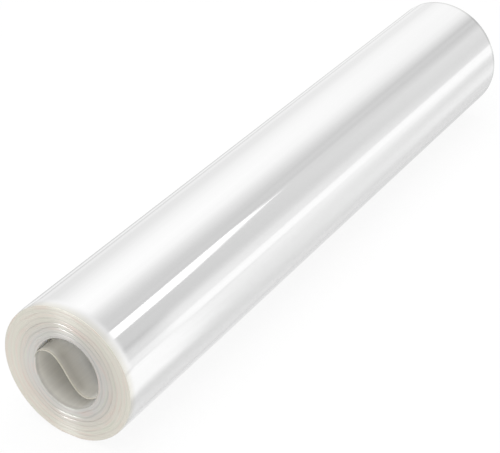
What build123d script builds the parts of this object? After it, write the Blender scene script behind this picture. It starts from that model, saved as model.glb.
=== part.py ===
from build123d import *

import os
from math import acos, atan2, cos, degrees, radians, sin, sqrt

# A roll of clear film with no core, wound on a split shaft that has been drawn out.
# It lies on its side along Y, with the end that shows most at -Y, and rests on z = 0.
# Lengths are in millimetres. Angles are in degrees round the roll, counted from +X
# towards +Z, and the film winds outwards that way round.

# The roll
film_width = 406.0
roll_diameter = 74.0
rim_rounding = 1.5
rim_corner = 45.0           # what is left of the rounding's quarter circle, as a soft corner
flat_spot_width = 11.0      # the soft roll settles onto this much of its side

# The bore, which is slightly oval
bore_length = 39.4
bore_breadth = 36.2
bore_angle = 75.0           # of its long way

# The start of the film, which crosses the bore as an S
leaf_thickness = 0.6
leaf_bend_radius = 7.5      # of the middle of the leaf, where it turns back to the wall
leaf_ease_radius = 39.0     # of the slight bend that it eases into towards the axis
leaf_angle = 170.0          # where the leaf runs into the bore wall
leaf_bite = 0.15            # how far its bend reaches into the wall

# The free outer edge of the film
tail_step = 0.3             # height of the edge above the turn below it
tail_angle = 119.0

# The turns that show on each end
turn_pitch = 1.5
turn_gap = 0.4
gap_depth = 1.2
inner_band = 1.0            # whole film between the bore and the first gap
outer_band = 2.4            # whole film outside the last gap

# Places worked out from the sizes above
roll_radius = roll_diameter / 2
mean_radius = roll_radius - tail_step / 2
axis_height = sqrt(mean_radius**2 - (flat_spot_width / 2) ** 2)
clear_of_roll = roll_diameter


def at_angle(radius, angle):
    """Point at a radius and an angle round the roll, in the plane of the section."""
    return Vector(radius * cos(radians(angle)), radius * sin(radians(angle)))


def winding(first_radius, growth, half_turns, start_angle, offset=0.0):
    """A spiral of half circles on two centres in turn, moved out all round by an offset."""
    arcs = []
    for half in range(half_turns):
        side = -1 if half % 2 == 0 else 1
        centre = at_angle(side * growth / 4, start_angle)
        radius = first_radius + growth / 4 + half * growth / 2 + offset
        arcs.append(CenterArc(centre, radius, start_angle + 180 * half, 180))
    return arcs


def outer_outline():
    """The last turn, whose end stands a step above its start, with the flat spot cut off."""
    last_turn = winding(roll_radius - tail_step, tail_step, 2, tail_angle)
    tail_edge = Line(last_turn[-1] @ 1, last_turn[0] @ 0)
    below = Rectangle(2 * roll_diameter, clear_of_roll, align=(Align.CENTER, Align.MAX))
    return make_face([*last_turn, tail_edge]) - Pos(0, -axis_height) * below


def leaf():
    """The film across the bore, a bend that eases into a slight one, and the same turned round."""
    reach = bore_breadth / 2 + leaf_bite + leaf_thickness / 2 - leaf_bend_radius
    bend_centre = at_angle(reach, leaf_angle)
    easing = (reach**2 - leaf_bend_radius**2) / (2 * leaf_ease_radius)
    ease_angle = leaf_angle + degrees(acos((leaf_bend_radius + easing) / reach))
    ease_centre = at_angle(leaf_ease_radius, ease_angle)
    meeting = bend_centre - ease_centre
    meeting_angle = degrees(atan2(meeting.Y, meeting.X))
    ease = CenterArc(ease_centre, leaf_ease_radius, ease_angle - 180, meeting_angle + 180 - ease_angle)
    bend = CenterArc(bend_centre, leaf_bend_radius, meeting_angle, leaf_angle - meeting_angle)
    turned_round = [Rot(0, 0, 180) * arc for arc in (ease, bend)]
    return trace([bend, ease, *turned_round], leaf_thickness)


def bore_openings():
    """The bore, which the leaf parts into two comma shapes."""
    bore = Rot(0, 0, bore_angle) * Ellipse(bore_length / 2, bore_breadth / 2)
    return bore - leaf()


def turn_gaps():
    """The spiral gap between the turns that show, as a ribbon in the section's plane."""
    first = bore_length / 2 + inner_band + turn_gap / 2
    last = roll_radius - outer_band - turn_gap / 2
    half_turns = int((last - first) / (turn_pitch / 2))
    inner_side = winding(first, turn_pitch, half_turns, leaf_angle, -turn_gap / 2)
    outer_side = winding(first, turn_pitch, half_turns, leaf_angle, turn_gap / 2)
    start = Line(inner_side[0] @ 0, outer_side[0] @ 0)
    end = Line(inner_side[-1] @ 1, outer_side[-1] @ 1)
    return make_face([*inner_side, end, *outer_side, start])


def rounded_ends():
    """A drum wider than the roll that rounds the rims of its two ends."""
    half_width = film_width / 2
    rounding_foot = (roll_radius - rim_rounding * cos(radians(rim_corner)), half_width - rim_rounding)
    rim = CenterArc(rounding_foot, rim_rounding, 0, 90)
    clear = roll_radius + clear_of_roll
    rest = Polyline(rim @ 0, (clear, (rim @ 0).Y), (clear, 0), (0, 0), (0, half_width), rim @ 1)
    drum = revolve(make_face([rim, rest]), Axis.Y)
    return drum + mirror(drum, Plane.XZ)


def wound_film():
    """The whole roll, lying on its flat spot."""
    section = outer_outline() - bore_openings()
    long = extrude(Plane.XZ * section, film_width, both=True)
    roll = long & rounded_ends()
    near_end = Plane.XZ.offset(film_width / 2)
    far_end = Plane.XZ.offset(-film_width / 2)
    roll -= extrude(near_end * turn_gaps(), -gap_depth)
    roll -= extrude(far_end * turn_gaps(), gap_depth)
    return Pos(0, 0, axis_height) * roll


os.makedirs("parts", exist_ok=True)
roll = wound_film()
roll.label = "wound_film"
export_step(roll, "parts/wound_film.step")
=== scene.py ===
from math import acos, atan2, cos, floor, pi, radians, sin, sqrt, tau

import bpy
from mathutils import Matrix, Vector, noise


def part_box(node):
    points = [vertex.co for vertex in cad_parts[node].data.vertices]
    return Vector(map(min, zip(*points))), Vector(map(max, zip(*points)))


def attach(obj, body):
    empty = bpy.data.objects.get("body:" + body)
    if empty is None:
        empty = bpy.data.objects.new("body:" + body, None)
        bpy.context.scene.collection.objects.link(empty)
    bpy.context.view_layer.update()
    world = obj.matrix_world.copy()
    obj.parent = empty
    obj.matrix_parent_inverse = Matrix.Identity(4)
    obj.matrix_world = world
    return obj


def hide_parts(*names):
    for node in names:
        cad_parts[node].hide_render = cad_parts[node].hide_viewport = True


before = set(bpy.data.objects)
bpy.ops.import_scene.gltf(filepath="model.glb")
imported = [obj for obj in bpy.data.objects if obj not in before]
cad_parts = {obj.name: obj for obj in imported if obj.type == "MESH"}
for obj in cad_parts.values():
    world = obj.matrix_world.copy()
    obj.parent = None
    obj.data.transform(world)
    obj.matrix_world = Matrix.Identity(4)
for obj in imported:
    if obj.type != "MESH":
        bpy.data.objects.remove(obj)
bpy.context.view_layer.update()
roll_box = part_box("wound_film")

bl_info = {
    "name": "Roll of Clear Film",
    "version": (1, 0, 0),
    "blender": (4, 5, 0),
    "location": "View3D > Sidebar > Film Roll",
    "description": "Winds a coreless roll of clear acetate film round the CAD part, in a plain studio",
    "category": "Add Mesh",
}

# Lengths are in metres. Angles go round the roll from +X towards +Z, the way that the film winds outwards.

MM = 0.001
SIDE, TURNS, BORE = range(3)        # material slots of the roll
NEAR_END, FAR_END = range(2)
ACETATE_IOR = 1.48


def linear(hex_colour):
    """A linear RGBA colour from an sRGB hex value."""
    parts = [int(hex_colour[i : i + 2], 16) / 255 for i in (1, 3, 5)]
    return [p / 12.92 if p <= 0.04045 else ((p + 0.055) / 1.055) ** 2.4 for p in parts] + [1.0]


WHITE = linear("#ffffff")


def smooth(low, high, value):
    """Rises softly from 0 to 1 as the value goes from low to high."""
    share = min(max((value - low) / (high - low), 0.0), 1.0)
    return share * share * (3 - 2 * share)


def length_property(name, description, default):
    return bpy.props.FloatProperty(
        name=name,
        description=description,
        default=default,
        min=0.0,
        precision=5,
        subtype="DISTANCE",
        unit="LENGTH",
    )


def angle_property(name, description, default):
    return bpy.props.FloatProperty(
        name=name, description=description, default=radians(default), subtype="ANGLE", unit="ROTATION"
    )


def colour_property(name, description, hex_colour):
    return bpy.props.FloatVectorProperty(
        name=name,
        description=description,
        default=linear(hex_colour),
        size=4,
        min=0.0,
        max=1.0,
        subtype="COLOR",
    )


def share_property(name, description, default):
    return bpy.props.FloatProperty(
        name=name, description=description, default=default, min=0.0, max=1.0, subtype="FACTOR"
    )


def power_property(name, description, default):
    return bpy.props.FloatProperty(
        name=name, description=description, default=default, min=0.0, max=100.0, unit="POWER"
    )


class FilmRollSizes(bpy.types.PropertyGroup):
    """Sizes of the roll."""

    width: length_property("Film Width", "Length of the roll", roll_box[1].y - roll_box[0].y)
    diameter: length_property("Diameter", "Outside diameter at the film's free edge", 74 * MM)
    clearance: length_property("Clearance", "How far the side keeps inside the part's box", 0.03 * MM)
    flat_spot: length_property("Flat Spot", "Width of the strip that the roll rests on", 11 * MM)
    bore_length: length_property("Bore Length", "Bore along its long way", 39.4 * MM)
    bore_breadth: length_property("Bore Breadth", "Bore across its narrow way", 36.2 * MM)
    bore_angle: angle_property("Bore Angle", "Where the long way of the bore points", 75)
    tail_step: length_property("Free Edge Step", "Height of the edge above the turn below it", 0.3 * MM)
    tail_angle: angle_property("Free Edge Angle", "Where the free outer edge lies", 119)
    corner: length_property("Corner", "Rounding of the corner between an end and the side", 0.4 * MM)
    shoulder_length: length_property(
        "Shoulder Length", "How far along the side eases down to the near end", 6.5 * MM
    )
    shoulder_drop: length_property("Shoulder Drop", "How much the side eases down there", 0.35 * MM)
    lip: length_property("Lip Rounding", "Rounding of the bore's lip", 0.5 * MM)
    shown_turns: bpy.props.IntProperty(
        name="Shown Turns", description="Bundles of turns on each end", default=7, min=1
    )
    relief: length_property("End Relief", "How far single bundles of turns stand out or back", 0.42 * MM)
    groove: length_property("Groove Depth", "Depth of the groove between two bundles", 0.3 * MM)
    leaf_thickness: length_property("Start Thickness", "Thickness of the start across the bore", 0.6 * MM)
    leaf_bend: length_property("Start Bend", "Bend radius of the film's start beside the wall", 7.5 * MM)
    leaf_ease: length_property("Start Ease", "Radius of the slight bend towards the axis", 39 * MM)
    leaf_bite: length_property("Start Bite", "How far the start's bend reaches into the wall", 0.15 * MM)
    leaf_angle: angle_property("Start Angle", "Where the film's start meets the bore wall", 170)


class FilmRollLooks(bpy.types.PropertyGroup):
    """Colours and finish of the film."""

    film: colour_property("Film", "The wound film seen through its side", "#f3f3f3")
    film_shade: colour_property("Film Streaks", "Faint streaks along the film", "#eeeeee")
    inner_edge: colour_property("Inner Edges", "Edges of the innermost turns", "#c9c7c2")
    middle_edge: colour_property("Middle Edges", "Edges of the turns half way out", "#d0cbc1")
    outer_edge: colour_property("Outer Edges", "Edges of the outer turns", "#d8d4c8")
    rim_edge: colour_property("Near Rim", "The side's near end, where the edges shine through", "#e3e1da")
    # Painted shade: the far rim is painted a thin grey.
    far_rim_painted_shade: colour_property("Far Rim", "The rim of the far end, where light leaks out", "#d5d5d4")
    blush: colour_property("Blush", "Faint warm arcs among the edges", "#dcc5ba")
    moss: colour_property("Moss", "Faint cool arcs among the edges", "#cdd0bf")
    bore: colour_property("Bore", "The inside of the first turn", "#e5e3dd")
    # Painted shade: the last 3 mm of the bore are painted greyer.
    bore_mouth_painted_shade: colour_property("Bore's Mouth", "The last 3 mm of the first turn", "#c3c1bb")
    # Painted light: the bore wall beside the start's bends is painted paler.
    bore_bend_painted_light: colour_property("Bore at the Bends", "The first turn beside the start's bends", "#fcfbf7")
    # Near the mouth the start's faces are painted lighter or darker by which way they turn: painted light and
    # shade.
    leaf: colour_property("Start", "Faces of the start that look away from the lit wall", "#b7b5af")
    leaf_under_painted_light: colour_property("Start, Underside", "Faces of the start that see the lit wall", "#f4f2ec")
    leaf_lit: colour_property("Start, Lit", "Faces of the start that take light from outside", "#cccac4")
    leaf_deep: colour_property("Start, Inside", "Faces of the start deeper in the bore", "#f5f3ed")
    leaf_edge: colour_property("Start, Edge", "Edges of the start, which gather light", "#bab6aa")
    reflecting: share_property("Reflecting Share", "How much of the light the layers mirror", 0.5)


class FilmRollStudio(bpy.types.PropertyGroup):
    """Floor, tent and lamps."""

    floor: colour_property("Floor", "The pale floor", "#fafafa")
    floor_shadow: share_property("Floor Shadow", "How much of the roll's shadow the floor keeps", 0.12)
    sky: share_property("Sky Level", "Even light from all round, where 1 is white", 0.75)
    lamp: power_property("Lamp Power", "Power of the softbox overhead", 9.0)
    glint_lamp: power_property("Glint Lamp Power", "Power of the lamp that the near edges glint in", 3.9)
    tent: length_property("Tent Radius", "Radius of the light tent that the film mirrors", 0.6)


def at_angle(radius, angle):
    """Point at a radius and an angle round the roll, in the plane of its section."""
    return Vector((cos(angle), sin(angle))) * radius


def axis_height(sizes):
    """Height of the roll's axis above the floor."""
    mean_radius = sizes.diameter / 2 - sizes.tail_step / 2
    return sqrt(mean_radius**2 - (sizes.flat_spot / 2) ** 2)


def outer_radius(sizes, angle):
    """The last turn, which rises from a step below the free edge up to it, and lies flat on the floor."""
    turned = ((angle - sizes.tail_angle) % tau) / tau
    radius = sizes.diameter / 2 - sizes.tail_step * (1 - turned) - sizes.clearance
    return min(radius, axis_height(sizes) / max(-sin(angle), 1e-6))


def leaf_reach(sizes):
    """Distance from the axis to the centre of the bend in the film's start."""
    return sizes.bore_breadth / 2 + sizes.leaf_bite + sizes.leaf_thickness / 2 - sizes.leaf_bend


def bore_radius(sizes, angle):
    """The bore, slightly oval."""
    long, short = sizes.bore_length / 2, sizes.bore_breadth / 2
    turned = angle - sizes.bore_angle
    return long * short / sqrt((short * cos(turned)) ** 2 + (long * sin(turned)) ** 2)


def edge_shift(along, end):
    """How far the film's edge stands back at a place along it, counted in turns, from 0 to 1."""
    changes_a_turn, ends_apart = 2.7, 31.0
    return 0.5 + 0.5 * noise.noise(Vector((along * changes_a_turn, ends_apart * end, 0.5)))


def turn_edge(sizes, share, angle, end):
    """How far the end face stands back at a share of the way out from the bore, and how near a groove that
    is, from 0 on a crest to 1. Each bundle of turns has a crowned edge, and stands out or back a little from
    its neighbours."""
    # The line of a bundle wanders in and out by up to 0.28 of its width, in a few waves round the roll.
    wander = noise.noise(Vector((2.2 * cos(angle), 2.2 * sin(angle), 5.0 * share + 7.0 * end)))
    along = share * sizes.shown_turns - angle / tau + 0.28 * wander
    turn = floor(along)
    across = along - turn
    # It parts from its inner neighbour over the first third of its width.
    here = edge_shift(turn + angle / tau, end)
    inner = edge_shift(turn - 1 + angle / tau, end)
    shift = inner + (here - inner) * smooth(0, 0.35, across)
    # Each bundle holds two narrower ones, and some grooves are open where others are nearly shut.
    opening = 0.35 + 1.3 * edge_shift(1.7 * turn + angle / tau + 40, end)
    off_crest = abs(2 * across - 1)
    crown = opening * off_crest**2.4 + 0.3 * (1 - off_crest) ** 3
    # The bundles show most at the top and the bottom, least on the side that the film was pushed against,
    # less in the outer half, and not at all in the turns next to the rim.
    slack = 0.3 + 0.7 * sin(angle) ** 2 + 0.3 * max(cos(angle), 0)
    slack *= (1 - 0.55 * smooth(0.45, 0.85, share)) * (1 - smooth(0.86, 0.94, share))
    return slack * (sizes.relief * shift + sizes.groove * crown), min(slack * crown, 1.0)


def half_profile(sizes, angle, end):
    """Points (radius, distance in from the end, slot, groove) from half way along the bore to half way along
    the side."""
    half = sizes.width / 2
    inside, outside = bore_radius(sizes, angle), outer_radius(sizes, angle)
    bore_rows = (1, 0.7, 0.45, 0.28, 0.16, 0.08, 0.035, 0.018, 0.009)      # shares of half the width
    lip_rows, face_rows, corner_rows, shoulder_rows, side_rows = 4, 96, 5, 8, 10
    corner_shade = 0.5      # painted shade at the top of the corner, where it turns to the side, given as a groove's share
    drop = sizes.shoulder_drop if end == NEAR_END else 0.0
    face_start, face_end = inside + sizes.lip, outside - drop - sizes.corner
    points = [(inside, half * share, BORE, 0.0) for share in bore_rows]
    for row in range(lip_rows):
        turn = pi / 2 * row / lip_rows
        radius = face_start - sizes.lip * cos(turn)
        recess, groove = turn_edge(sizes, (radius - inside) / (outside - inside), angle, end)
        slot = BORE if row < lip_rows / 2 else TURNS
        points.append((radius, recess + sizes.lip * (1 - sin(turn)), slot, groove))
    for row in range(face_rows):
        radius = face_start + (face_end - face_start) * row / face_rows
        recess, groove = turn_edge(sizes, (radius - inside) / (outside - inside), angle, end)
        points.append((radius, recess, TURNS, groove))
    corner_slot = TURNS if end == NEAR_END else SIDE
    for row in range(corner_rows):
        turn = pi / 2 * row / corner_rows
        radius, inset = face_end + sizes.corner * sin(turn), sizes.corner * (1 - cos(turn))
        points.append((radius, inset, corner_slot, corner_shade * max(sin(angle), 0.0) * sin(turn)))
    for row in range(shoulder_rows):
        share = row / shoulder_rows
        eased = (1 - share) ** 2
        points.append((outside - drop * eased, sizes.corner + sizes.shoulder_length * share, SIDE, 0.0))
    side_start = sizes.corner + sizes.shoulder_length
    for row in range(side_rows):
        share = (row / side_rows) ** 1.6        # closer together near the end
        points.append((outside, side_start + (half - side_start) * share, SIDE, 0.0))
    return points


def column_angles(sizes):
    """One column a degree, with close ones either side of the free edge so that its step stays crisp."""
    even = [radians(step) for step in range(360)]
    near = [sizes.tail_angle + radians(offset) for offset in (-0.3, -0.1, -0.02, 0.02, 0.1, 0.3)]
    kept = [angle for angle in even if abs(angle - sizes.tail_angle) > radians(0.4)]
    return sorted(kept + near)


def make_object(name, vertices, faces, slots=()):
    """A smooth mesh object in the scene, whose faces are given wound outwards."""
    mesh = bpy.data.meshes.new(name)
    mesh.from_pydata(vertices, [], faces)
    mesh.validate()
    mesh.update()
    mesh.polygons.foreach_set("use_smooth", [True] * len(mesh.polygons))
    if slots:
        mesh.polygons.foreach_set("material_index", slots)
    made = bpy.data.objects.new(name, mesh)
    bpy.context.scene.collection.objects.link(made)
    return made


def add_node(tree, kind, inputs=(), stops=(), **settings):
    """Adds a node with its settings, its inputs as values or links, and a ramp's stops."""
    made = tree.nodes.new(kind)
    for name, value in settings.items():
        setattr(made, name, value)
    for socket, value in dict(inputs).items():
        if isinstance(value, bpy.types.NodeSocket):
            tree.links.new(value, made.inputs[socket])
        else:
            made.inputs[socket].default_value = value
    for index, (position, colour) in enumerate(stops):
        stop = made.color_ramp.elements[index] if index < 2 else made.color_ramp.elements.new(position)
        stop.position = position
        stop.color = colour
    return made


def new_material(name):
    """A material and its node tree, still empty."""
    made = bpy.data.materials.new(name)
    made.use_nodes = True
    made.node_tree.nodes.clear()
    return made, made.node_tree


def polar_place(tree, sizes):
    """Sockets for a place on the roll: its position from the axis, its radius and its angle."""
    place = add_node(tree, "ShaderNodeTexCoord").outputs["Object"]
    from_axis = add_node(
        tree, "ShaderNodeVectorMath", {0: place, 1: (0, 0, axis_height(sizes))}, operation="SUBTRACT"
    ).outputs[0]
    across = add_node(
        tree, "ShaderNodeVectorMath", {0: from_axis, 1: (1, 0, 1)}, operation="MULTIPLY"
    ).outputs[0]
    radius = add_node(tree, "ShaderNodeVectorMath", {0: across}, operation="LENGTH").outputs["Value"]
    parts = add_node(tree, "ShaderNodeSeparateXYZ", {0: from_axis}).outputs
    angle = add_node(tree, "ShaderNodeMath", {0: parts["Z"], 1: parts["X"]}, operation="ARCTAN2").outputs[0]
    return from_axis, radius, angle


def bore_streaks(tree, place):
    """The film's casting streaks as the bore shows them: their pattern, and the shade that they give. They
    are drawn 1.5 mm apart, twice as coarse as they are, because finer ones don't show in there."""
    along = add_node(
        tree, "ShaderNodeVectorMath", {0: place, 1: (1, 0.02, 1)}, operation="MULTIPLY"
    ).outputs[0]
    streaks = add_node(
        tree, "ShaderNodeTexNoise", {"Vector": along, "Scale": 1 / (1.5 * MM), "Detail": 2.0}
    ).outputs["Fac"]
    shade = add_node(
        tree,
        "ShaderNodeMapRange",
        {"Value": streaks, "From Min": 0.3, "From Max": 0.7, "To Min": 0.96, "To Max": 1.03},
    ).outputs[0]
    return streaks, shade


def from_middle(tree, place):
    """Socket for the distance along the roll from its middle."""
    along_axis = add_node(tree, "ShaderNodeSeparateXYZ", {0: place}).outputs["Y"]
    return add_node(tree, "ShaderNodeMath", {0: along_axis}, operation="ABSOLUTE").outputs[0]


def seen_as_white(tree):
    """Socket that is 1 for the rays that see the studio as plain white: camera, transmission and glossy."""
    rays = add_node(tree, "ShaderNodeLightPath").outputs
    seen = rays["Is Camera Ray"]
    for kind in ("Is Transmission Ray", "Is Glossy Ray"):
        seen = add_node(tree, "ShaderNodeMath", {0: seen, 1: rays[kind]}, operation="MAXIMUM").outputs[0]
    return seen


def cast_film_material(sizes, looks):
    """Clear acetate, cast as film and wound tight. Each layer sends back a little light, so that the many
    layers together read as a silvery white with long sharp reflections."""
    material, tree = new_material("acetate_film_cast_and_wound")
    place, _, _ = polar_place(tree, sizes)
    # Casting streaks are about 0.7 mm apart and run on for hundreds of millimetres.
    along = add_node(
        tree, "ShaderNodeVectorMath", {0: place, 1: (1, 0.006, 1)}, operation="MULTIPLY"
    ).outputs[0]
    streaks = add_node(
        tree,
        "ShaderNodeTexNoise",
        {"Vector": along, "Scale": 1 / (0.7 * MM), "Detail": 2.0, "Roughness": 0.6},
    ).outputs["Fac"]
    # Slack in the outer turn shows as shallow waves some 20 mm wide.
    slack = add_node(
        tree,
        "ShaderNodeTexNoise",
        {"Vector": place, "Scale": 1 / (22 * MM), "Detail": 1.0, "Roughness": 0.4},
    ).outputs["Fac"]
    colour = add_node(
        tree, "ShaderNodeMixRGB", {"Fac": streaks, "Color1": looks.film_shade, "Color2": looks.film}
    ).outputs[0]
    # The cream of the edges shines through the last few millimetres of the side at the near end. At the far
    # end the rim is painted a thin grey instead, painted shade along its edge.
    half = sizes.width / 2
    rims = (
        (5 * MM - half, 0.4 * MM - half, looks.rim_edge),
        (half - 2.8 * MM, half - 0.8 * MM, looks.far_rim_painted_shade),
    )
    along_axis = add_node(tree, "ShaderNodeSeparateXYZ", {0: place}).outputs["Y"]
    for start, end, tint in rims:
        share = add_node(
            tree,
            "ShaderNodeMapRange",
            {"Value": along_axis, "From Min": start, "From Max": end},
            interpolation_type="SMOOTHSTEP",
        ).outputs[0]
        colour = add_node(
            tree, "ShaderNodeMixRGB", {"Fac": share, "Color1": colour, "Color2": tint}
        ).outputs[0]
    roughness = add_node(
        tree,
        "ShaderNodeMapRange",
        {"Value": streaks, "From Min": 0.3, "From Max": 0.7, "To Min": 0.03, "To Max": 0.07},
    ).outputs[0]
    height = add_node(
        tree, "ShaderNodeMath", {0: slack, 1: 12.0, 2: streaks}, operation="MULTIPLY_ADD"
    ).outputs[0]
    bump = add_node(
        tree, "ShaderNodeBump", {"Height": height, "Strength": 0.25, "Distance": 0.004 * MM}
    ).outputs[0]
    shader = add_node(
        tree,
        "ShaderNodeBsdfPrincipled",
        {
            "Base Color": colour,
            "Metallic": looks.reflecting,
            "Roughness": roughness,
            "IOR": ACETATE_IOR,
            "Normal": bump,
            "Coat Weight": 0.5,
            "Coat Roughness": 0.03,
            "Coat IOR": ACETATE_IOR,
        },
    ).outputs[0]
    add_node(tree, "ShaderNodeOutputMaterial", {"Surface": shader})
    return material


def slit_edge_material(sizes, looks):
    """The edges of the turns, slit with a knife. Stacked edges scatter light inside the film, so they look
    milky, grey near the bore and cream towards the rim, with a gloss that spreads across the knife's cut."""
    material, tree = new_material("acetate_film_edges_slit")
    place, radius, angle = polar_place(tree, sizes)
    out = add_node(
        tree,
        "ShaderNodeMapRange",
        {"Value": radius, "From Min": sizes.bore_breadth / 2, "From Max": sizes.diameter / 2},
    ).outputs[0]
    stops = (
        (0.0, looks.inner_edge),
        (1.0, looks.outer_edge),
        (0.22, looks.inner_edge),
        (0.45, looks.middle_edge),
        (0.7, looks.outer_edge),
    )
    tinted = add_node(tree, "ShaderNodeValToRGB", {0: out}, stops=stops).outputs[0]
    # Single turns are 0.1 mm thick, too fine to show, so a line is drawn for every 0.8 mm of them.
    turn_lines = add_node(
        tree, "ShaderNodeMath", {0: radius, 1: tau / (0.8 * MM)}, operation="MULTIPLY"
    ).outputs[0]
    turn_lines = add_node(
        tree, "ShaderNodeMath", {0: turn_lines, 1: angle}, operation="SUBTRACT"
    ).outputs[0]
    turn_lines = add_node(tree, "ShaderNodeMath", {0: turn_lines}, operation="SINE").outputs[0]
    # Arcs some 15 mm long and 1 to 2 mm wide are pinker or greener than their neighbours.
    parts = add_node(tree, "ShaderNodeSeparateXYZ", {0: place}).outputs
    arc_sizes = {"X": (radius, 1.5 * MM), "Y": (parts["X"], 15 * MM), "Z": (parts["Z"], 15 * MM)}
    rings = add_node(
        tree,
        "ShaderNodeCombineXYZ",
        {
            axis: add_node(tree, "ShaderNodeMath", {0: value, 1: 1 / size}, operation="MULTIPLY").outputs[0]
            for axis, (value, size) in arc_sizes.items()
        },
    ).outputs[0]
    arcs = add_node(
        tree, "ShaderNodeTexNoise", {"Vector": rings, "Scale": 1.0, "Detail": 2.0}
    ).outputs["Fac"]
    for start, end, most, tint in ((0.50, 0.75, 0.55, looks.blush), (0.45, 0.3, 0.5, looks.moss)):
        share = add_node(
            tree, "ShaderNodeMapRange", {"Value": arcs, "From Min": start, "From Max": end, "To Max": most}
        ).outputs[0]
        tinted = add_node(
            tree, "ShaderNodeMixRGB", {"Fac": share, "Color1": tinted, "Color2": tint}
        ).outputs[0]
    # Painted highlight and painted shade: a crest is painted lighter along its edge, and a groove painted
    # darker.
    groove = add_node(tree, "ShaderNodeAttribute", attribute_name="groove").outputs["Fac"]
    shade = add_node(
        tree, "ShaderNodeMapRange", {"Value": groove, "From Max": 0.8, "To Min": 1.04, "To Max": 0.84}
    ).outputs[0]
    shade = add_node(
        tree, "ShaderNodeMath", {0: turn_lines, 1: 0.018, 2: shade}, operation="MULTIPLY_ADD"
    ).outputs[0]
    # Near the bore the edges are painted darker towards +X and the top and lighter towards -X and the bottom:
    # painted shade and painted light, as from one side.
    near_bore = add_node(tree, "ShaderNodeMath", {0: 1.0, 1: out}, operation="SUBTRACT").outputs[0]
    painted_side_shade = add_node(
        tree, "ShaderNodeMath", {0: parts["Z"], 1: 0.6, 2: parts["X"]}, operation="MULTIPLY_ADD"
    ).outputs[0]
    painted_side_shade = add_node(
        tree, "ShaderNodeMath", {0: painted_side_shade, 1: -0.26 / sizes.diameter}, operation="MULTIPLY"
    ).outputs[0]
    shade = add_node(
        tree, "ShaderNodeMath", {0: painted_side_shade, 1: near_bore, 2: shade}, operation="MULTIPLY_ADD"
    ).outputs[0]
    colour = add_node(
        tree, "ShaderNodeVectorMath", {0: tinted, "Scale": shade}, operation="SCALE"
    ).outputs[0]
    # The edges ripple with the turns, three times as much at the bore as at the rim, and more softly with
    # the arcs.
    ripple = add_node(
        tree, "ShaderNodeMath", {0: near_bore, 1: 1.4, 2: 0.7}, operation="MULTIPLY_ADD"
    ).outputs[0]
    ripple = add_node(tree, "ShaderNodeMath", {0: turn_lines, 1: ripple}, operation="MULTIPLY").outputs[0]
    height = add_node(
        tree, "ShaderNodeMath", {0: arcs, 1: 4.0, 2: ripple}, operation="MULTIPLY_ADD"
    ).outputs[0]
    bump = add_node(
        tree, "ShaderNodeBump", {"Height": height, "Strength": 0.4, "Distance": 0.05 * MM}
    ).outputs[0]
    roughness = add_node(
        tree,
        "ShaderNodeMapRange",
        {"Value": arcs, "From Min": 0.3, "From Max": 0.7, "To Min": 0.38, "To Max": 0.5},
    ).outputs[0]
    # The knife's edges run round the roll, so the gloss spreads across them.
    around = add_node(tree, "ShaderNodeTangent", direction_type="RADIAL", axis="Y").outputs[0]
    shader = add_node(
        tree,
        "ShaderNodeBsdfPrincipled",
        {
            "Base Color": colour,
            "Roughness": roughness,
            "IOR": ACETATE_IOR,
            "Specular IOR Level": 0.8,
            "Anisotropic": 0.9,
            "Anisotropic Rotation": 0.25,
            "Tangent": around,
            "Normal": bump,
            "Coat Weight": 0.5,
            "Coat Roughness": 0.2,
            "Coat IOR": ACETATE_IOR,
        },
    ).outputs[0]
    add_node(tree, "ShaderNodeOutputMaterial", {"Surface": shader})
    return material


def bore_material(sizes, looks):
    """The inside of the first turn, cast film backed by all the others. Little light reaches in, so it reads
    as a warm grey with a soft shine."""
    material, tree = new_material("acetate_film_cast_bore")
    place, _, angle = polar_place(tree, sizes)
    streaks, shade = bore_streaks(tree, place)
    # Where the start bends against the wall, the wall is painted paler, painted light for the light that the
    # two pass between them. It does so on both sides of the bore, 33 degrees back from where the start meets
    # the wall.
    palest_painted_light = sizes.leaf_angle - radians(33)
    double = add_node(
        tree, "ShaderNodeMath", {0: angle, 1: 2.0, 2: -2 * palest_painted_light}, operation="MULTIPLY_ADD"
    ).outputs[0]
    double = add_node(tree, "ShaderNodeMath", {0: double}, operation="COSINE").outputs[0]
    beside = add_node(
        tree,
        "ShaderNodeMapRange",
        {"Value": double, "From Min": 0.5, "From Max": 0.9},
        interpolation_type="SMOOTHSTEP",
    ).outputs[0]
    body = add_node(
        tree, "ShaderNodeMixRGB", {"Fac": beside, "Color1": looks.bore, "Color2": looks.bore_bend_painted_light}
    ).outputs[0]
    # The last 3 mm of the wall are painted greyer, painted shade which gives the mouth of the bore its crisp
    # edge.
    half = sizes.width / 2
    deep = add_node(
        tree,
        "ShaderNodeMapRange",
        {"Value": from_middle(tree, place), "From Min": half - 0.4 * MM, "From Max": half - 3.2 * MM},
        interpolation_type="SMOOTHSTEP",
    ).outputs[0]
    body = add_node(
        tree, "ShaderNodeMixRGB", {"Fac": deep, "Color1": looks.bore_mouth_painted_shade, "Color2": body}
    ).outputs[0]
    colour = add_node(
        tree, "ShaderNodeVectorMath", {0: body, "Scale": shade}, operation="SCALE"
    ).outputs[0]
    bump = add_node(
        tree, "ShaderNodeBump", {"Height": streaks, "Strength": 0.2, "Distance": 0.02 * MM}
    ).outputs[0]
    shader = add_node(
        tree,
        "ShaderNodeBsdfPrincipled",
        {
            "Base Color": colour,
            "Subsurface Weight": 0.6,
            "Subsurface Radius": (1.0, 0.98, 0.95),
            "Subsurface Scale": 9 * MM,
            "Roughness": 0.4,
            "IOR": ACETATE_IOR,
            "Normal": bump,
        },
    ).outputs[0]
    add_node(tree, "ShaderNodeOutputMaterial", {"Surface": shader})
    return material


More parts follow.
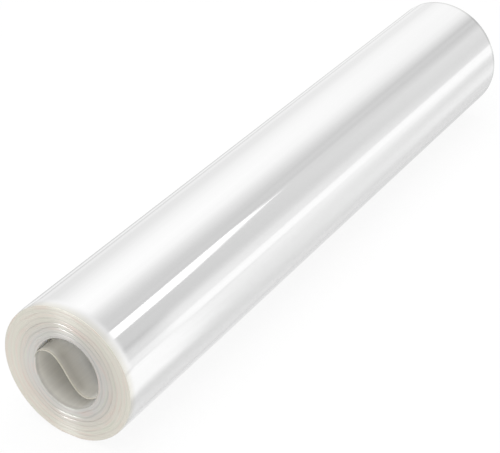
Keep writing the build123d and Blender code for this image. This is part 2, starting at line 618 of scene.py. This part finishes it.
def leaf_material(sizes, looks):
    """The film's start, cast film a few layers thick. Its edge gathers light and shows as a pale line, and
    its faces take the grey of the bore and pass on light from deeper in; near the mouth they are painted
    lighter or darker by which way they turn, painted light and shade."""
    material, tree = new_material("acetate_film_cast_leaf")
    place, _, _ = polar_place(tree, sizes)
    _, shade = bore_streaks(tree, place)
    depth, half = from_middle(tree, place), sizes.width / 2
    inside, deep = [
        add_node(
            tree,
            "ShaderNodeMapRange",
            {"Value": depth, "From Min": half - start * MM, "From Max": half - end * MM},
        ).outputs[0]
        for start, end in ((0.4, 0.9), (4, 12))
    ]
    # Near the mouth the faces are painted by which way they turn: grey, painted shade, where they turn to +X,
    # painted light where they turn up, as from outside, and paler painted light where they turn to -X, as
    # from the wall.
    normal = add_node(tree, "ShaderNodeTexCoord").outputs["Normal"]
    turned = add_node(tree, "ShaderNodeSeparateXYZ", {0: normal}).outputs["X"]
    turned = add_node(
        tree, "ShaderNodeMath", {0: turned, 1: 0.5, 2: 0.5}, operation="MULTIPLY_ADD"
    ).outputs[0]
    stops = ((0.15, looks.leaf_under_painted_light), (0.9, looks.leaf), (0.4, looks.leaf_lit), (0.65, looks.leaf_lit))
    body = add_node(tree, "ShaderNodeValToRGB", {0: turned}, stops=stops).outputs[0]
    body = add_node(
        tree, "ShaderNodeMixRGB", {"Fac": deep, "Color1": body, "Color2": looks.leaf_deep}
    ).outputs[0]
    body = add_node(
        tree, "ShaderNodeMixRGB", {"Fac": inside, "Color1": looks.leaf_edge, "Color2": body}
    ).outputs[0]
    colour = add_node(
        tree, "ShaderNodeVectorMath", {0: body, "Scale": shade}, operation="SCALE"
    ).outputs[0]
    shader = add_node(
        tree,
        "ShaderNodeBsdfPrincipled",
        {
            "Base Color": colour,
            "Subsurface Weight": 1.0,
            "Subsurface Radius": (1.0, 0.98, 0.95),
            "Subsurface Scale": 2 * MM,
            "Roughness": 0.4,
            "IOR": ACETATE_IOR,
        },
    ).outputs[0]
    add_node(tree, "ShaderNodeOutputMaterial", {"Surface": shader})
    return material


class FILMROLL_OT_wind_roll(bpy.types.Operator):
    """Winds the roll: its side, its rounded rims, the spiral of turns on both ends and its bore"""

    bl_idname = "filmroll.wind_roll"
    bl_label = "Wind Film Roll"

    def execute(self, context):
        sizes, looks = context.scene.film_roll_sizes, context.scene.film_roll_looks
        vertices, grooves = [], []
        height, half = axis_height(sizes), sizes.width / 2
        angles = column_angles(sizes)
        for angle in angles:
            near = half_profile(sizes, angle, NEAR_END)
            far = list(reversed(half_profile(sizes, angle, FAR_END)[1:]))
            places = [(radius, inset - half, groove) for radius, inset, _, groove in near]
            places.append((outer_radius(sizes, angle), 0.0, 0.0))
            places += [(radius, half - inset, groove) for radius, inset, _, groove in far]
            for radius, y, groove in places:
                vertices.append((radius * cos(angle), y, height + radius * sin(angle)))
                grooves.append(groove)
        ring = len(vertices) // len(angles)
        row_slots = [slot for _, _, slot, _ in near] + [SIDE] + [slot for _, _, slot, _ in far]
        faces, slots = [], []
        for column in range(len(angles)):
            here, there = column * ring, (column + 1) % len(angles) * ring
            for row in range(ring):
                after = (row + 1) % ring
                faces.append((here + row, here + after, there + after, there + row))
                slots.append(min(row_slots[row], row_slots[after]) if row > ring // 2 else row_slots[row])
        roll = make_object("film_roll", vertices, faces, slots)
        # The groove share drives the painted shade of the grooves and the painted highlight of the crests on
        # the ends.
        roll.data.attributes.new("groove", "FLOAT", "POINT").data.foreach_set("value", grooves)
        for make in (cast_film_material, slit_edge_material, bore_material):
            roll.data.materials.append(make(sizes, looks))
        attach(roll, "root")
        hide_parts("wound_film")
        return {"FINISHED"}


class FILMROLL_OT_lay_start(bpy.types.Operator):
    """Lays the start of the film across the bore as an S"""

    bl_idname = "filmroll.lay_start"
    bl_label = "Lay Film Start"

    def execute(self, context):
        sizes, looks = context.scene.film_roll_sizes, context.scene.film_roll_looks
        line = self.centre_line(sizes)
        half_length, thickness = sizes.width / 2, sizes.leaf_thickness
        # Millimetres in from the end, and the share of the thickness there, so that the edge is rounded.
        rows = ((0.0, 0.35), (0.12, 0.75), (0.3, 1.0), (2.0, 1.0), (8.0, 1.0), (30.0, 1.0), (90.0, 1.0))
        near = [(-half_length + inset * MM, share * thickness / 2) for inset, share in rows]
        far = [(-y, half) for y, half in reversed(near)]
        normals = [self.normal(line, index) for index in range(len(line))]
        vertices = []
        for y, half in near + far:
            for sign, order in ((1, range(len(line))), (-1, reversed(range(len(line))))):
                for index in order:
                    point = line[index] + sign * half * normals[index]
                    vertices.append((point.x, y, axis_height(sizes) + point.y))
        ring, count = 2 * len(line), len(near + far)
        faces = []
        for row in range(count - 1):
            for index in range(ring):
                after = (index + 1) % ring
                here, there = row * ring, (row + 1) * ring
                faces.append((here + index, there + index, there + after, here + after))
        for start, outward in ((0, True), ((count - 1) * ring, False)):
            for index in range(len(line) - 1):
                corners = (index, index + 1, ring - 2 - index, ring - 1 - index)
                cap = [start + corner for corner in corners]
                faces.append(cap if outward else cap[::-1])
        leaf = make_object("film_start", vertices, faces)
        leaf.data.materials.append(leaf_material(sizes, looks))
        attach(leaf, "root")
        return {"FINISHED"}

    @staticmethod
    def centre_line(sizes):
        """Middle of the leaf: a bend off the wall that eases into a slight one, and the same turned round."""
        bend, ease, angle, reach = sizes.leaf_bend, sizes.leaf_ease, sizes.leaf_angle, leaf_reach(sizes)
        bend_centre = at_angle(reach, angle)
        easing = (reach**2 - bend**2) / (2 * ease)
        ease_angle = angle + acos((bend + easing) / reach)
        ease_centre = at_angle(ease, ease_angle)
        meeting = bend_centre - ease_centre
        meeting_angle = atan2(meeting.y, meeting.x)
        arcs = (
            (bend_centre, bend, angle, meeting_angle, 30),
            (ease_centre, ease, meeting_angle, ease_angle - pi, 8),
        )
        line = [
            centre + at_angle(radius, start + (end - start) * step / steps)
            for centre, radius, start, end, steps in arcs
            for step in range(steps)
        ]
        return line + [Vector((0, 0))] + [-point for point in reversed(line)]

    @staticmethod
    def normal(line, index):
        """Unit normal of the line at one of its points."""
        before, after = line[max(index - 1, 0)], line[min(index + 1, len(line) - 1)]
        along = (after - before).normalized()
        return Vector((-along.y, along.x))


# The studio that the film mirrors. Its light levels were typed in and corrected, render by render,
# until the bands along the side came near the photograph's.
# Of the tent's wall, each row gives an angle round the roll in degrees, and the brightness there as the near
# end and as the far end mirror it.
TENT_WALL = (
    (-4, 1.20, 1.20), (3, 1.20, 1.15), (5, 0.95, 0.80), (9, 0.95, 0.72), (15, 0.86, 0.64),
    (20, 0.60, 0.60), (26, 0.38, 0.63), (41, 0.38, 0.66), (52, 0.60, 0.42), (56, 0.35, 0.34),
    (61, 0.38, 0.42), (66, 0.34, 0.32), (73, 0.37, 0.54), (84, 0.60, 0.84), (96, 0.97, 0.97),
    (112, 1.08, 0.98), (128, 0.98, 0.99), (145, 0.80, 0.93), (157, 0.68, 0.81), (171, 0.67, 0.81),
    (177, 0.80, 0.90), (182, 0.80, 0.90), (184, 0.72, 0.84),
)
# The same for the ground sheets on the left and on the right, by the distance from the roll.
LEFT_SHEET = (
    (0.07, 0.50, 0.62), (0.11, 0.55, 0.68), (0.15, 0.76, 0.84), (0.20, 0.95, 0.98), (0.25, 0.78, 0.82),
    (0.31, 0.60, 0.68), (0.45, 0.58, 0.75), (0.60, 0.70, 0.84),
)
RIGHT_SHEET = (
    (0.015, 0.86, 0.84), (0.022, 0.88, 0.80), (0.028, 0.82, 0.66), (0.032, 0.72, 0.66),
    (0.036, 0.72, 0.74), (0.041, 0.78, 0.72), (0.046, 0.72, 0.72), (0.052, 0.66, 0.80),
    (0.060, 0.65, 0.98), (0.071, 0.74, 1.00), (0.085, 0.84, 0.88), (0.106, 0.95, 0.74),
    (0.14, 1.02, 0.80), (0.21, 0.97, 1.12), (0.30, 0.82, 1.20), (0.35, 1.20, 1.20), (0.60, 1.20, 1.20),
)
FRONT_CARD = 0.70           # brightness of what the shoulder at the near end mirrors
SIDE_CARD = 1.2             # brightness of the white card on the right beside the near end
CARDS_END = (-0.9, -0.6)    # where the cards fade out along the roll, so that none shows from behind
STRIP_LIGHT = 1.45          # brightness of the strip light on the right
STRIP_END = 0.45            # where it ends along the roll
NEAR_DIP = 0.28             # how much darker the studio is on the right beside the near end

# Places and sizes of the lamps
SOFTBOX = ((0.0, -0.2, 1.3), (1.0, 1.6))
GLINT_LAMP = ((-0.422, -0.963, 0.058), (0.21, 0.09))

# The camera, fitted to the outline of the roll in the photograph
CAMERA_TURN = 31.43         # degrees that it looks round from +Y towards -X
CAMERA_TILT = 31.49         # degrees that it looks down
CAMERA_LENS = 113.2         # in mm
CAMERA_SENSOR = 36.0        # in mm
FROM_CAMERA = (-2.313, -1.861, 19.835)      # the near end's middle, to the right, up and ahead, in radii


def along_roll(y, distance):
    """Which part of the roll mirrors a place, from 0 at the near end to 1 at the far end, for a camera that
    looks down along the roll."""
    near_end, length = -0.2, 0.4        # of the roll
    further, longer = 0.79, 0.5         # for each metre that the place is away from it
    return (y - near_end - further * distance) / (length + longer * distance)


def between(rows, place, along):
    """Brightness read off rows of (place, near level, far level). Past the near end the levels run the other
    way, for whoever looks at the roll from behind."""
    share = min(abs(along), 1.0)
    levels = [(at, near + (far - near) * share) for at, near, far in rows]
    if place <= levels[0][0]:
        return levels[0][1]
    for (low, first), (high, second) in zip(levels, levels[1:]):
        if place <= high:
            return first + (second - first) * (place - low) / (high - low)
    return levels[-1][1]


def near_dip(along):
    """How much darker the right is than its levels say, beside the near end."""
    return NEAR_DIP * smooth(0.14, 0.04, along)


def wall_glow(angle, along):
    """Brightness of the tent's wall at an angle in degrees."""
    level = between(TENT_WALL, angle, along)
    # The strip light stands between 43.5 and 55 degrees, and narrows to a point beside the roll's middle.
    if along < STRIP_END:
        low = 43.5 + 7.0 * smooth(0.15, STRIP_END, along)
        high = 55.0 - 4.5 * smooth(0.3, STRIP_END, along)
        strip = smooth(low - 0.5, low + 0.5, angle) * smooth(high + 0.5, high - 0.5, angle)
        level += (STRIP_LIGHT - level) * strip
    level -= near_dip(along) * smooth(28, 20, angle) * smooth(-6, -1, angle)
    # The card in front is brighter low on the right and high on the left.
    card = FRONT_CARD + 0.18 * smooth(55, 42, angle) + 0.25 * smooth(35, 0, angle)
    card += 0.25 * smooth(80, 125, angle) * smooth(175, 150, angle)
    return level + (card - level) * smooth(0.01, -0.13, along) * smooth(*CARDS_END, along)


def left_glow(distance, along):
    """Brightness of the ground sheet on the left."""
    return between(LEFT_SHEET, distance, along)


def right_glow(distance, along):
    """Brightness of the ground sheet on the right, with a white card beside the near end."""
    level = between(RIGHT_SHEET, distance, along)
    card = smooth(0.15, 0.06, along) * smooth(*CARDS_END, along) * smooth(0.057, 0.085, distance)
    level += (SIDE_CARD - level) * card
    return level - near_dip(along) * smooth(0.30, 0.36, distance)


class FILMROLL_OT_set_stage(bpy.types.Operator):
    """Sets the floor, the light tent, the two lamps, the sky and the camera"""

    bl_idname = "filmroll.set_stage"
    bl_label = "Set Stage"

    def execute(self, context):
        sizes, studio = context.scene.film_roll_sizes, context.scene.film_roll_studio
        self.lay_floor(studio)
        self.hang_tent(sizes, studio)
        self.hang_lamp("softbox", *SOFTBOX, studio.lamp)
        glint = self.hang_lamp("glint_lamp", *GLINT_LAMP, studio.glint_lamp)
        glint.data.shape = "ELLIPSE"
        glint.visible_diffuse = False
        self.light_sky(context.scene, studio)
        self.place_camera(context.scene, sizes)
        return {"FINISHED"}

    def lay_floor(self, studio):
        """A sweep of matt white paper, whose faint mottling is some 3 mm across. It looks white, and keeps a
        soft shadow."""
        reach, steps = 3.0, 24
        lines = [(2 * step / steps - 1) * reach for step in range(steps + 1)]
        places = [(x, y, 0) for x in lines for y in lines]
        faces = []
        for i in range(steps):
            for j in range(steps):
                corner = i * (steps + 1) + j
                faces.append((corner, corner + steps + 1, corner + steps + 2, corner + 1))
        sweep = make_object("floor", places, faces)
        material, tree = new_material("paper_sweep_matt_white")
        place = add_node(tree, "ShaderNodeTexCoord").outputs["Object"]
        grain = add_node(tree, "ShaderNodeTexNoise", {"Vector": place, "Scale": 300.0}).outputs["Fac"]
        shade = add_node(
            tree, "ShaderNodeMapRange", {"Value": grain, "To Min": 0.99, "To Max": 1.0}
        ).outputs[0]
        colour = add_node(
            tree, "ShaderNodeVectorMath", {0: studio.floor[:3], "Scale": shade}, operation="SCALE"
        ).outputs[0]
        paper = add_node(tree, "ShaderNodeBsdfDiffuse", {"Color": colour}).outputs[0]
        glow = add_node(tree, "ShaderNodeEmission", {"Color": WHITE, "Strength": 1.0}).outputs[0]
        share = add_node(
            tree,
            "ShaderNodeMath",
            {0: seen_as_white(tree), 1: 1 - studio.floor_shadow},
            operation="MULTIPLY",
        ).outputs[0]
        surface = add_node(tree, "ShaderNodeMixShader", {0: share, 1: paper, 2: glow}).outputs[0]
        add_node(tree, "ShaderNodeOutputMaterial", {"Surface": surface})
        sweep.data.materials.append(material)

    def hang_tent(self, sizes, studio):
        """An arched tent of white nylon with two ground sheets. Only the film's reflections show it, as the
        light levels that its points carry."""
        foot = 4                # degrees below the axis at which the arch ends
        rise = 1 * MM           # of the ground sheets over the floor
        reach, rows = 2.2, 110  # half the tent's length, and its rows of faces
        height, edge = axis_height(sizes), studio.tent * cos(radians(foot))
        section = [(-x, rise, left_glow, x, x) for x in self.sheet_places(LEFT_SHEET, edge)]
        for half_degree in range(2 * (180 + foot) - 1, -2 * foot, -1):
            angle = half_degree / 2
            x, z = studio.tent * cos(radians(angle)), height + studio.tent * sin(radians(angle))
            section.append((x, z, wall_glow, angle, studio.tent))
        section += [(x, rise, right_glow, x, x) for x in reversed(self.sheet_places(RIGHT_SHEET, edge))]
        vertices, glows = [], []
        for row in range(rows + 1):
            y = (2 * row / rows - 1) * reach
            for x, z, glow_at, place, distance in section:
                vertices.append((x, y, z))
                glows.append(glow_at(place, along_roll(y, distance)))
        columns = len(section)
        faces = []
        for row in range(rows):
            for column in range(columns - 1):
                corner = row * columns + column
                faces.append((corner, corner + 1, corner + columns + 1, corner + columns))
        tent = make_object("light_tent", vertices, faces)
        tent.data.attributes.new("glow", "FLOAT", "POINT").data.foreach_set("value", glows)
        material, tree = new_material("nylon_tent_woven_white")
        level = add_node(tree, "ShaderNodeAttribute", attribute_name="glow").outputs["Fac"]
        light = add_node(tree, "ShaderNodeEmission", {"Strength": level}).outputs[0]
        add_node(tree, "ShaderNodeOutputMaterial", {"Surface": light})
        material.cycles.emission_sampling = "NONE"
        tent.data.materials.append(material)
        tent.visible_camera = tent.visible_diffuse = tent.visible_shadow = tent.visible_transmission = False

    @staticmethod
    def sheet_places(levels, edge):
        """Distances from the roll at which a ground sheet has a column, close together beside the roll."""
        nearest, steps = levels[0][0], 60
        return [nearest * (edge / nearest) ** (step / steps) for step in range(steps + 1)]

    @staticmethod
    def hang_lamp(name, place, size, power):
        """A soft lamp that faces the near end, and that the camera doesn't see."""
        lamp = bpy.data.lights.new(name, "AREA")
        lamp.shape, lamp.size, lamp.size_y, lamp.energy = "RECTANGLE", *size, power
        hung = bpy.data.objects.new(name, lamp)
        aim = Vector((0, roll_box[0].y, (roll_box[0].z + roll_box[1].z) / 2)) - Vector(place)
        hung.location = place
        hung.rotation_euler = aim.to_track_quat("-Z", "Y").to_euler()
        hung.visible_camera = False
        bpy.context.scene.collection.objects.link(hung)
        return hung

    def light_sky(self, scene, studio):
        """Even light all round, which the camera, glossy and transmission rays see as white."""
        world = bpy.data.worlds.new("sky")
        world.use_nodes = True
        tree = world.node_tree
        tree.nodes.clear()
        level = add_node(
            tree, "ShaderNodeMapRange", {"Value": seen_as_white(tree), "To Min": studio.sky, "To Max": 1.0}
        ).outputs[0]
        light = add_node(tree, "ShaderNodeBackground", {"Color": WHITE, "Strength": level}).outputs[0]
        add_node(tree, "ShaderNodeOutputWorld", {"Surface": light})
        scene.world = world
        scene.view_settings.view_transform = "Standard"

    def place_camera(self, scene, sizes):
        """A long lens over the near end, looking down along the roll."""
        turn, tilt = radians(CAMERA_TURN), radians(CAMERA_TILT)
        right = Vector((cos(turn), sin(turn), 0))
        forward = Vector((-sin(turn) * cos(tilt), cos(turn) * cos(tilt), -sin(tilt)))
        up = right.cross(forward)
        near_centre = Vector((0, 0.5 * MM - sizes.width / 2, axis_height(sizes)))
        to_right, to_top, ahead = FROM_CAMERA
        offset = to_right * right + to_top * up + ahead * forward
        data = bpy.data.cameras.new("camera")
        data.lens, data.sensor_width, data.clip_start, data.clip_end = CAMERA_LENS, CAMERA_SENSOR, 0.01, 20.0
        camera = bpy.data.objects.new("camera", data)
        turned = Matrix((right, up, -forward)).transposed().to_4x4()
        camera.matrix_world = Matrix.Translation(near_centre - offset * sizes.diameter / 2) @ turned
        scene.collection.objects.link(camera)
        scene.camera = camera


class FILMROLL_PT_panel(bpy.types.Panel):
    """Sizes, looks and steps of the roll"""

    bl_idname = "FILMROLL_PT_panel"
    bl_label = "Film Roll"
    bl_space_type = "VIEW_3D"
    bl_region_type = "UI"
    bl_category = "Film Roll"

    def draw(self, context):
        for operator in OPERATORS:
            self.layout.operator(operator.bl_idname)
        for name in GROUPS:
            group = getattr(context.scene, name)
            box = self.layout.box()
            for key in group.__annotations__:
                box.prop(group, key)


OPERATORS = (FILMROLL_OT_wind_roll, FILMROLL_OT_lay_start, FILMROLL_OT_set_stage)
GROUPS = {
    "film_roll_sizes": FilmRollSizes,
    "film_roll_looks": FilmRollLooks,
    "film_roll_studio": FilmRollStudio,
}
CLASSES = (*GROUPS.values(), *OPERATORS, FILMROLL_PT_panel)


def register():
    for cls in CLASSES:
        bpy.utils.register_class(cls)
    for name, group in GROUPS.items():
        setattr(bpy.types.Scene, name, bpy.props.PointerProperty(type=group))


def unregister():
    for name in GROUPS:
        delattr(bpy.types.Scene, name)
    for cls in reversed(CLASSES):
        bpy.utils.unregister_class(cls)


def main():
    register()
    bpy.ops.filmroll.wind_roll()
    bpy.ops.filmroll.lay_start()
    bpy.ops.filmroll.set_stage()


if __name__ == "__main__":
    main()
